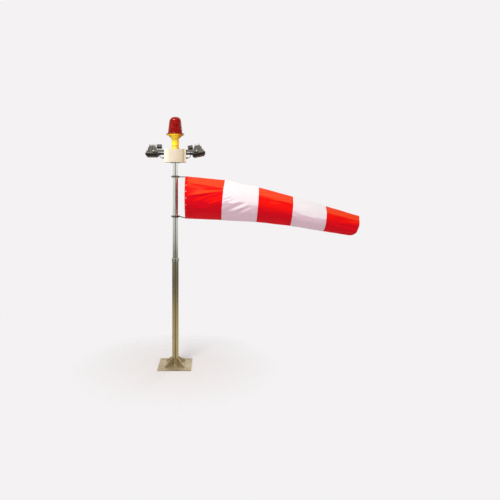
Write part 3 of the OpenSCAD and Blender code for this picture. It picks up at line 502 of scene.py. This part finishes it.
# one row is a fold: angle and band place where it starts and ends, widths in mm, height in mm
FOLDS = [
    # the fan that is pinched at the first seam
    (44, 0.02, 53, 0.97, 16, 14, 9), (85, 0.00, 63, 1.00, 26, 11, 19), (96, 0.30, 67, 0.99, 11, 7, 10),
    (64, 0.45, 58, 0.99, 12, 8, -8), (104, 0.60, 88, 0.99, 10, 9, 10), (90, 0.45, 72, 0.99, 9, 7, -7),
    (116, 0.45, 96, 1.00, 14, 9, 5), (132, 0.30, 120, 1.00, 18, 14, 4),
    # slack below the second band's middle
    (84, 1.02, 74, 1.22, 13, 10, 10), (94, 1.02, 78, 1.32, 12, 10, 10), (98, 1.0, 86, 1.5, 16, 22, 9),
    (112, 1.02, 84, 1.50, 14, 11, 8), (128, 1.10, 92, 1.72, 15, 11, 10), (140, 1.25, 104, 1.82, 14, 11, 9),
    (120, 1.08, 88, 1.62, 9, 9, -8), (134, 1.18, 98, 1.78, 10, 9, -9), (146, 1.45, 116, 1.96, 14, 12, 5),
    (62, 1.00, 78, 1.34, 10, 16, 6), (70, 1.02, 92, 1.30, 9, 14, -5),
    # the third and fourth bands are drawn smooth but for long creases
    (62, 2.0, 60, 3.02, 10, 9, 8), (50, 1.86, 48, 2.6, 9, 9, 4), (64, 2.03, 61, 2.98, 14, 10, -4),
    (96, 2.50, 104, 3.12, 26, 18, 3),
    (58, 3.05, 56, 3.92, 14, 12, 4), (88, 3.10, 100, 3.80, 22, 18, 4), (118, 3.30, 104, 3.95, 20, 14, 3),
    # the free tail crumples
    (58, 4.02, 62, 4.98, 16, 16, 8), (64, 4.10, 78, 4.95, 16, 20, 6), (44, 4.30, 50, 5.00, 12, 16, 5),
    (92, 4.35, 86, 5.00, 14, 18, 5),
    (74, 4.40, 66, 4.98, 10, 12, -5), (112, 4.20, 108, 5.00, 20, 20, 5), (134, 4.30, 126, 5.00, 16, 18, 4),
]
# the far side, which hangs in the lee, carries the same kind of folds in other places
FOLDS += [(-a0 - 9, p0 + 0.04, -a1 + 7, p1 - 0.03, w0, w1, 0.85 * h) for a0, p0, a1, p1, w0, w1, h in FOLDS]


def place(run):
    return np.interp(run, ring_at, np.arange(BANDS + 1))


def folds(around, run):
    radius = np.interp(run, ring_at, ring_radius)
    height = np.zeros(np.broadcast(around, run).shape)
    arc = np.radians(around) * radius
    for a0, p0, a1, p1, w0, w1, h in FOLDS:
        ends = np.interp([p0, p1], np.arange(BANDS + 1), ring_at)
        sides = np.radians([a0, a1]) * np.interp(ends, ring_at, ring_radius)
        way = np.array([ends[1] - ends[0], sides[1] - sides[0]])
        t = ((run - ends[0]) * way[0] + (arc - sides[0]) * way[1]) / (way @ way)
        t = np.clip(t, 0, 1)
        off = np.hypot(run - ends[0] - t * way[0], arc - sides[0] - t * way[1])
        width = (w0 + (w1 - w0) * t) * MM
        height += h * MM * np.exp(-(off / width) ** 1.4) * np.sin(np.pi * np.clip(0.12 + 0.76 * t, 0, 1))
    return height


def crumple(around, run):
    """Small slack of the cloth, drawn out along the sock."""
    flat = np.broadcast_arrays(np.radians(around), run)
    points = zip(flat[0].ravel(), flat[1].ravel())
    found = [noise.noise(Vector((3.2 * math.cos(a), 3.2 * math.sin(a), 4.0 * x)))
             + 0.5 * noise.noise(Vector((9 * math.cos(a), 9 * math.sin(a), 9.0 * x + 7))) for a, x in points]
    return np.array(found).reshape(flat[0].shape)

# %% [markdown]
# ## The sewn edges
# At the mouth the hem hangs on the hoop by cloth loops, so its edge is held forward at each loop
# and falls back between them. At the tail nothing holds it, so the edge waves.

# %% The skin of the sock
LOOPS = 20
hem_width = 60 * MM
SEAM_TURN = math.radians(4.1)


def skin(around, run, out=0.0):
    """Points on the cloth, at angles from the top towards the front and distances from the mouth."""
    around, run = np.broadcast_arrays(np.asarray(around, float), np.asarray(run, float))
    where = place(run)
    centre = np.stack([np.interp(run, ring_at, ring_centre[:, i]) for i in range(3)], axis=-1)
    radius = np.interp(run, ring_at, ring_radius)
    lean = np.interp(run, ring_at, ring_lean)
    free = np.clip((run - 0.02) / 0.12, 0, 1)
    pinched = np.clip(run / 0.05, 0, 1)
    full = 1 - np.clip((where - 4.2) / 0.8, 0, 1) * 0.55
    bend = np.interp(where, [0, 1, 2, 3, 4, 5], [45, 53, 54, 58, 55, 58])
    second = np.interp(where, [0, 1, 2, 3], [85, 64, 84, 90])
    flat = facet(around, 0, bend, 0.9 * free * full)
    flat = flat + facet(around, bend, second, 0.7 * free) * (where < 3)
    flat = flat + facet(around, -54, 0, 0.7 * free * full)
    flat = flat + facet(around, 118, 176, 0.35 * free) + facet(around, -172, -122, 0.35 * free)
    slack = crumple(around, run) * 3.2 * MM * (0.25 + 0.75 * free)
    wave = np.clip((where - 4.55) / 0.45, 0, 1) ** 2 * 5 * MM * np.sin(np.radians(6 * around + 40))
    radius = radius * (1 + flat) + folds(around, run) * pinched + slack + wave + out
    angle = np.radians(around)
    up = np.stack([np.sin(lean), np.zeros_like(lean), np.cos(lean)], axis=-1)
    front = np.array([0.0, -1.0, 0.0])
    points = centre + radius[..., None] * (np.cos(angle)[..., None] * up + np.sin(angle)[..., None] * front)
    sag = (1 - np.cos(np.radians(around + 180 / LOOPS) * LOOPS)) / 2
    points[..., 0] += (1 - sag) * 4 * MM * np.exp(-run / 0.03)
    tail = np.clip((where - 4.6) / 0.4, 0, 1) ** 2
    points[..., 0] += tail * (np.sin(angle) ** 2 * 6 * MM + np.sin(np.radians(5 * around)) * 3 * MM)
    points[..., 0] -= np.sin(angle) * radius * SEAM_TURN * np.clip(where, 0, 1)
    limp = np.clip((np.abs(around) - 120) / 50, 0, 1) * np.clip((where - 4.8) / 0.2, 0, 1) ** 2
    points[..., 2] += limp * 22 * MM
    return points


print("widest point at the first seam", round(float(skin(90, ring_at[1])[1]), 3))

# %% Cloth helpers
def sheet_mesh(name, runs, out, columns=216):
    """A closed sleeve of cloth through the given distances from the mouth, with a map in metres."""
    angles = np.arange(columns) * 360 / columns - 180
    grid = skin(angles[None, :], np.asarray(runs)[:, None], out)
    rows = len(runs)
    mesh = bpy.data.meshes.new(name)
    faces = [(r * columns + c, r * columns + (c + 1) % columns, (r + 1) * columns + (c + 1) % columns,
              (r + 1) * columns + c) for r in range(rows - 1) for c in range(columns)]
    mesh.from_pydata(grid.reshape(-1, 3).tolist(), [], faces)
    uv = mesh.uv_layers.new(name="UVMap")
    radius = float(np.interp(np.mean(runs), ring_at, ring_radius))
    step = math.radians(360 / columns) * radius
    flat = [(b * step, runs[a]) for r in range(rows - 1) for c in range(columns)
            for a, b in ((r, c), (r, c + 1), (r + 1, c + 1), (r + 1, c))]
    uv.data.foreach_set("uv", np.array(flat, np.float32).ravel())
    # painted light from above: how far the skin faces up at rest, which the cloth colour turns into lit tops
    # and shaded undersides
    painted_light_above = mesh.attributes.new("painted_light_above", "FLOAT", "POINT")
    across = np.roll(grid, -1, axis=1) - np.roll(grid, 1, axis=1)
    outward = np.cross(across, np.gradient(grid, axis=0))
    outward /= np.linalg.norm(outward, axis=2, keepdims=True)
    if outward[:, columns // 2, 2].mean() < 0:
        outward = -outward
    painted_light_above.data.foreach_set("value", outward[..., 2].ravel().astype(np.float32))
    sleeve = bpy.data.objects.new(name, mesh)
    scene.collection.objects.link(sleeve)
    return sleeve


def apply_modifier(piece, kind, **settings):
    modifier = piece.modifiers.new(kind.lower(), kind)
    for key, value in settings.items():
        setattr(modifier, key, value)
    bpy.ops.object.select_all(action="DESELECT")
    bpy.context.view_layer.objects.active = piece
    piece.select_set(True)
    bpy.ops.object.modifier_apply(modifier=modifier.name)


def finish_piece(piece, slot, body=None, angle=None):
    piece.data.materials.clear()
    piece.data.materials.append(finish_of[slot])
    bpy.ops.object.select_all(action="DESELECT")
    bpy.context.view_layer.objects.active = piece
    piece.select_set(True)
    if angle is None:
        bpy.ops.object.shade_smooth()
    else:
        bpy.ops.object.shade_smooth_by_angle(angle=math.radians(angle))
    if body:
        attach(piece, body)
    return piece

# %% [markdown]
# ## The five bands
# Each band is one sleeve, from seam to seam, with the thickness of coated cloth. The first band
# rides on the swivel's body; the others are set once in place.

# %% Bands
body_of_band = ["swivel", "sock_2", "sock_3", "sock_4", "sock_5"]
colour_of_band = ["red_cloth", "white_cloth", "red_cloth", "white_cloth", "red_cloth"]
cloth_thick = 0.6 * MM


bands = []
for k in range(1, BANDS + 1):
    runs = np.linspace(ring_at[k - 1], ring_at[k], 57)
    if k == 1:
        runs = np.concatenate([np.linspace(0, 0.1, 22), np.linspace(0.1, ring_at[1], 48)[1:]])
    band = sheet_mesh(f"band_{k}_cloth", runs, 0.0)
    apply_modifier(band, "SOLIDIFY", thickness=cloth_thick, offset=-1)
    finish_piece(band, colour_of_band[k - 1])
    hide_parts(f"sock_band_{k}")
    if k == 1:
        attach(band, "swivel")
    else:
        way = Vector(ring_centre[k] - ring_centre[k - 1])
        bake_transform(band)
    bands.append(band)
print("bands", [len(b.data.polygons) for b in bands])

# %% [markdown]
# ## Hems and seams
# The edges of the cloth are doubled: a wide hem at the mouth, a narrow one at the tail, and at
# each seam the red cloth folded over the white. Each is a strip that lies on the skin of the
# sock, so it takes every fold with it. It rides on the body before its seam.

# %% Strips of doubled cloth
def strip(name, start, end, out, slot, body, rows=7):
    piece = sheet_mesh(name, np.linspace(start, end, rows), out)
    apply_modifier(piece, "SOLIDIFY", thickness=0.8 * MM, offset=1)
    return finish_piece(piece, slot, body)


seam_width = 14 * MM
sewn = [strip("mouth_hem", 0.001, hem_width, 0.2 * MM, "red_cloth", "swivel", 25)]
for k in range(1, BANDS):
    red_side = -1 if k % 2 == 1 else 1
    ends = sorted([ring_at[k], ring_at[k] + red_side * seam_width])
    sewn.append(strip(f"seam_{k}", ends[0], ends[1], 0.3 * MM, "red_cloth", body_of_band[k - 1]))
sewn.append(strip("tail_hem", ring_at[5] - 28 * MM, ring_at[5] - 0.5 * MM, 0.2 * MM, "red_cloth",
                  "sock_5"))
print("strips", [piece.name for piece in sewn])

# %% [markdown]
# ## Stitches
# Sailmakers sew with thick bonded thread. A stitch is one small bead of thread, modelled once
# and laid along each row at its pitch, turned to follow the cloth.

# %% Stitches
def copies(name, prototype, matrices):
    """One mesh with a copy of the prototype at each matrix."""
    base = np.array([v.co for v in prototype.vertices])
    loops = [tuple(p.vertices) for p in prototype.polygons]
    points, faces = [], []
    for n, matrix in enumerate(matrices):
        m = np.array(matrix)
        points.append(base @ m[:3, :3].T + m[:3, 3])
        faces += [tuple(v + n * len(base) for v in loop) for loop in loops]
    mesh = bpy.data.meshes.new(name)
    mesh.from_pydata(np.concatenate(points).tolist(), [], faces)
    piece = bpy.data.objects.new(name, mesh)
    scene.collection.objects.link(piece)
    return piece


def on_skin(around, run, out):
    """Places on the cloth: X along the row, Z outwards."""
    around, run = np.broadcast_arrays(np.asarray(around, float), np.asarray(run, float))
    here, beside = skin(around, run, out), skin(around + 0.4, run, out)
    ahead = skin(around, run + 0.002, out)
    found = []
    for a, b, c in zip(here, beside, ahead):
        x = Vector(b - a).normalized()
        z = Vector(c - a).cross(x).normalized()
        middle = np.array([a[0], 0, np.interp(a[0], ring_centre[:, 0], ring_centre[:, 2])])
        if z.dot(Vector(a - middle)) < 0:
            z = -z
        found.append(Matrix.Translation(a) @ Matrix((x, z.cross(x), z)).transposed().to_4x4())
    return found


bpy.ops.mesh.primitive_cube_add(size=1, location=(0, 0, 0))
stitch = bpy.context.object
bpy.ops.object.mode_set(mode="EDIT")
bpy.ops.mesh.select_all(action="SELECT")
bpy.ops.transform.resize(value=(4.2 * MM, 0.8 * MM, 0.7 * MM))
bpy.ops.object.mode_set(mode="OBJECT")
stitch_form = stitch.data.copy()
for vertex in stitch_form.vertices:
    if vertex.co.z < 0:
        vertex.co.x *= 1.15
bpy.data.objects.remove(stitch)
finish_of["thread"] = coated("bonded_thread", "#e02218", "#b8121a", 0.5, 1.0, 0.2)
stitch_pitch = 6.5 * MM


def stitch_rows(name, runs, body):
    placed = []
    for run in runs:
        count = int(2 * math.pi * np.interp(run, ring_at, ring_radius) / stitch_pitch)
        placed += on_skin(np.arange(count) * 360 / count - 180, run, 1.25 * MM)
    piece = copies(name, stitch_form, placed)
    finish_piece(piece, "red_cloth", body, angle=30)
    piece.data.materials[0] = finish_of["thread"]
    return piece


stitches = [stitch_rows("stitches_mouth", [4 * MM, hem_width - 9 * MM, hem_width - 4 * MM], "swivel")]
for k in range(1, BANDS):
    red_side = -1 if k % 2 == 1 else 1
    rows = [ring_at[k] + red_side * inset for inset in (3 * MM, seam_width - 3 * MM)]
    stitches.append(stitch_rows(f"stitches_{k}", rows, body_of_band[k - 1]))
stitches.append(stitch_rows("stitches_tail", [ring_at[5] - 24 * MM, ring_at[5] - 4 * MM], "sock_5"))
print("stitches", sum(len(piece.data.polygons) for piece in stitches) // 6)

# %% [markdown]
# ## Loops round the hoop
# The hem is cut into broad tabs that wrap the hoop and are sewn back on themselves. Each tab is a
# strip of cloth drawn round the rod in section, with its free edges drawn in a little. Its
# thickness goes inwards, so the inner skin lies partly in the rod and in the hem.

# %% Loops
hoop_centre = (Vector(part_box("hoop")[0]) + Vector(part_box("hoop")[1])) / 2
rod = (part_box("hoop")[1][0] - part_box("hoop")[0][0]) / 2
wrap_radius = rod + 1.0 * MM
ring = (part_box("hoop")[1][1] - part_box("hoop")[0][1]) / 2 - rod
hem_x, hem_r = ring_centre[0][0] - hoop_centre.x, ring_radius[0] - ring
section = [(hem_x + 16 * MM, hem_r + 0.4 * MM), (hem_x + 3 * MM, hem_r + 0.9 * MM),
           (hem_x * 0.5, hem_r + 1.2 * MM)]
section += [(wrap_radius * math.cos(a), wrap_radius * math.sin(a))
            for a in np.radians(np.arange(80, 281, 20))]
section += [(hem_x * 0.5, -rod * 0.4), (hem_x - 1 * MM, hem_r - 5 * MM)]
points, faces, uvs = [], [], []
columns, rows = 13, len(section)
for i in range(LOOPS):
    for c in range(columns):
        share = 2 * c / (columns - 1) - 1
        for r, (x, out) in enumerate(section):
            drawn_in = 1 - 0.10 * (1 - abs(2 * r / (rows - 1) - 1)) - 0.02 * math.sin(7 * i + r)
            angle = math.radians((i + 0.5) * 360 / LOOPS + share * 7.9 * drawn_in)
            lift = out + 1.2 * MM * (1 - share ** 2) * (1 if out > 0 else -1)
            points.append((hoop_centre.x + x, (ring + lift) * math.sin(angle),
                           hoop_centre.z + (ring + lift) * math.cos(angle)))
    first = i * columns * rows
    for c in range(columns - 1):
        for r in range(rows - 1):
            a = first + c * rows + r
            faces.append((a, a + 1, a + rows + 1, a + rows))
            corners = ((c, r), (c, r + 1), (c + 1, r + 1), (c + 1, r))
            uvs += [(x * 9 * MM + i, y * 5 * MM) for x, y in corners]
mesh = bpy.data.meshes.new("hoop_tabs")
mesh.from_pydata(points, [], faces)
mesh.uv_layers.new(name="UVMap").data.foreach_set("uv", np.array(uvs, np.float32).ravel())
hoop_tabs = bpy.data.objects.new("hoop_tabs", mesh)
scene.collection.objects.link(hoop_tabs)
apply_modifier(hoop_tabs, "SOLIDIFY", thickness=0.8 * MM, offset=1)
finish_piece(hoop_tabs, "red_cloth")
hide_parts("hoop_loops")
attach(hoop_tabs, "swivel")
print("loops", len(hoop_tabs.data.polygons))

# %% List the pieces that go with each band
for k, band in enumerate(bands, 1):
    with_it = {1: [sewn[0], sewn[1], stitches[0], stitches[1], hoop_tabs], 5: [sewn[5], stitches[5]]}
    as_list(with_it.get(k, [sewn[k], stitches[k]] if k < 5 else []))

# %% [markdown]
# ## Leads to the floodlights
# Each lead leaves its gland at the bottom of the box, bends upwards and goes into the driver
# behind the lamp. It is 8 mm rubber cable that hangs in a free bend, laid once in place, so it
# doesn't follow the lamp as it tilts.

# %% Leads
def smooth_line(points, steps=10):
    """A Catmull-Rom line through the points."""
    points = [Vector(p) for p in points]
    padded = [points[0] * 2 - points[1], *points, points[-1] * 2 - points[-2]]
    line = []
    for p0, p1, p2, p3 in zip(padded, padded[1:], padded[2:], padded[3:]):
        for step in range(steps):
            t = step / steps
            line.append(0.5 * (2 * p1 + (p2 - p0) * t + (2 * p0 - 5 * p1 + 4 * p2 - p3) * t ** 2
                               + (3 * p1 - p0 - 3 * p2 + p3) * t ** 3))
    return line + [points[-1]]


def tube(name, line, radius, sides=20, closed=False):
    """A tube along a line, its section carried along without twist."""
    count = len(line)
    across = Vector((0, 0, 1)).cross(line[1] - line[0])
    across = across if across.length > 1e-9 else Vector((1, 0, 0))
    points, faces = [], []
    for n, place in enumerate(line):
        ahead = line[(n + 1) % count] if closed else line[min(n + 1, count - 1)]
        behind = line[n - 1] if closed or n else line[0]
        along = (ahead - behind).normalized()
        across = (across - along * across.dot(along)).normalized()
        up = along.cross(across)
        thick = radius(n / count) if callable(radius) else radius
        points += [place + thick * (across * math.cos(a) + up * math.sin(a))
                   for a in (2 * math.pi * s / sides for s in range(sides))]
    for n in range(count if closed else count - 1):
        first, second = n * sides, (n + 1) % count * sides
        faces += [(first + s, first + (s + 1) % sides, second + (s + 1) % sides, second + s)
                  for s in range(sides)]
    if not closed:
        faces += [tuple(reversed(range(sides))), tuple(range((count - 1) * sides, count * sides))]
    mesh = bpy.data.meshes.new(name)
    mesh.from_pydata(points, [], faces)
    piece = bpy.data.objects.new(name, mesh)
    scene.collection.objects.link(piece)
    return piece


lead_d = 8 * MM
gland_bend = [(172, -44, 2908), (181, -44, 2908), (197, -44, 2913), (209, -44, 2926), (214, -43, 2944),
              (216, -38, 2974)]
into_driver = {"left": [(213, -23.3, 3016.9), (214, -21, 3028.7), (214, -18.8, 3040.2)],
               "right": [(210.4, -26.7, 2999.5), (208.9, -24.4, 3011.2), (206.6, -22.2, 3022.5)]}
for side, way in (("left", -1), ("right", 1)):
    route = [(way * x * MM, y * MM, z * MM) for x, y, z in gland_bend + into_driver[side]]
    line = smooth_line(route)
    lead = tube(f"lead_{side}_cable", line, lead_d / 2)
    measured = sum((b - a).length for a, b in zip(line, line[1:]))
    finish_piece(lead, "lead_rubber")
    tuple(route[2])
    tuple(route[-3])
    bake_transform(lead)
    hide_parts(f"lead_{side}")
    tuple(route[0])
    print(lead.name, "length", round(measured, 4))

# %% [markdown]
# ## Beacon lens
# The lens is one moulding of red acrylic, open below: a clamped rim, a wall that leans in, and a
# rounded crown. Upright flutes inside the wall spread the light, so its edge isn't quite round.

# %% Lens
lens_low, lens_high = (Vector(corner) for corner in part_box("beacon_lens"))
rim_r, wall_low, wall_high, crown = lens_high.x, 106 * MM, 86 * MM, 71 * MM
rim_t, flutes, flute_depth, lens_wall = 8 * MM, 36, 1.3 * MM, 3.4 * MM
profile = [(rim_r, 0.0), (rim_r, rim_t), (wall_low + 6 * MM, rim_t), (wall_low + 2 * MM, rim_t + 2 * MM)]
height = lens_high.z - lens_low.z
profile += [(wall_low + (wall_high - wall_low) * t, rim_t + 6 * MM + (height - crown - rim_t - 6 * MM) * t)
            for t in np.linspace(0, 1, 9)]
profile += [(wall_high - crown * (1 - math.cos(a)), height - crown + crown * math.sin(a))
            for a in np.linspace(0, math.pi / 2, 13)[1:]]
profile += [(r, height) for r in (11 * MM, 7 * MM, 3 * MM)]
turns = flutes * 6
points, faces = [], []
for row, (r, z) in enumerate(profile):
    on_wall = np.interp(z, [rim_t + 6 * MM, rim_t + 20 * MM, height - crown, height - 0.4 * crown],
                        [0, 1, 1, 0])
    for turn in range(turns):
        a = 2 * math.pi * turn / turns
        radius = r - on_wall * flute_depth * (0.5 - 0.5 * math.cos(flutes * a))
        points.append((radius * math.cos(a), radius * math.sin(a), lens_low.z + z))
for row in range(len(profile) - 1):
    first, second = row * turns, (row + 1) * turns
    faces += [(first + t, first + (t + 1) % turns, second + (t + 1) % turns, second + t)
              for t in range(turns)]
points.append((0, 0, lens_high.z))
top = (len(profile) - 1) * turns
faces += [(top + t, top + (t + 1) % turns, len(points) - 1) for t in range(turns)]
mesh = bpy.data.meshes.new("beacon_dome")
mesh.from_pydata(points, [], faces)
dome = bpy.data.objects.new("beacon_dome", mesh)
scene.collection.objects.link(dome)
apply_modifier(dome, "SOLIDIFY", thickness=lens_wall, offset=-1)
finish_piece(dome, "red_lens", angle=50)
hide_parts("beacon_lens")
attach(dome, "mast")
print("dome", len(dome.data.polygons))

# %% [markdown]
# ## Weld beads
# The gussets, the mast's foot and the hoop frame are welded. A bead is a tube whose thickness
# swells at every ripple, half sunk in the corner that it fills.

# %% Weld beads
def bead(name, points, radius, slot, body, closed=False):
    ends = [Vector(p) for p in points] + ([Vector(points[0])] if closed else [])
    line = []
    for a, b in zip(ends, ends[1:]):
        steps = max(2, round((b - a).length / (1.4 * MM)))
        line += [a.lerp(b, n / steps) for n in range(steps)]
    line = line if closed else line + [ends[-1]]

    def ripple(t):
        return radius * (0.88 + 0.16 * abs(math.sin(len(line) * t * 0.55)))

    piece = tube(name, line, ripple, 8, closed)
    return finish_piece(piece, slot, body)


def circle(centre, radius, count=72, axis="z"):
    turned = {"z": lambda c, s: (c, s, 0), "x": lambda c, s: (0, c, s)}[axis]
    return [Vector(centre) + radius * Vector(turned(math.cos(a), math.sin(a)))
            for a in (2 * math.pi * n / count for n in range(count))]


plate_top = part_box("base_plate")[1][2]
foot_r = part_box("lower_tube")[1][0]
beads = [bead("weld_foot", circle((0, 0, plate_top), foot_r + 0.5 * MM, 120), 3 * MM,
              "lower_tube_steel", "mast", True)]
for n in range(1, 5):
    low, high = (Vector(corner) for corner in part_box(f"gusset_{n}"))
    middle = (low + high) / 2
    along = Vector((middle.x, middle.y, 0)).normalized()
    across = Vector((-along.y, along.x, 0))
    reach = max(abs(low.x), abs(high.x), abs(low.y), abs(high.y))
    thick = min(high.x - low.x, high.y - low.y) / 2
    for way, label in ((-1, "a"), (1, "b")):
        out = across * way * (thick + 0.4 * MM)
        foot = [along * (foot_r + 5 * MM) + out, along * (reach - 3 * MM) + out]
        along_foot = [Vector((p.x, p.y, plate_top + 0.4 * MM)) for p in foot]
        beads.append(bead(f"weld_gusset_{n}{label}", along_foot, 2.2 * MM, "lower_tube_steel", "mast"))
        rise = along * (foot_r + 0.4 * MM) + out
        up_tube = [(rise.x, rise.y, plate_top + 4 * MM), (rise.x, rise.y, high.z - 3 * MM)]
        beads.append(bead(f"weld_rise_{n}{label}", up_tube, 2.2 * MM, "lower_tube_steel", "mast"))
for end in ("upper", "lower"):
    low, high = (Vector(corner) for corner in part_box(f"arm_{end}"))
    z = high.z - 7 * MM if end == "upper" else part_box("swivel_collar_lower")[0][2] + 8 * MM
    beads.append(bead(f"weld_arm_{end}", circle((low.x + 3.2 * MM, 0, z), 7.2 * MM, 36, "x"), 1.6 * MM,
                      "frame_steel", "swivel", True))
print("beads", len(beads))
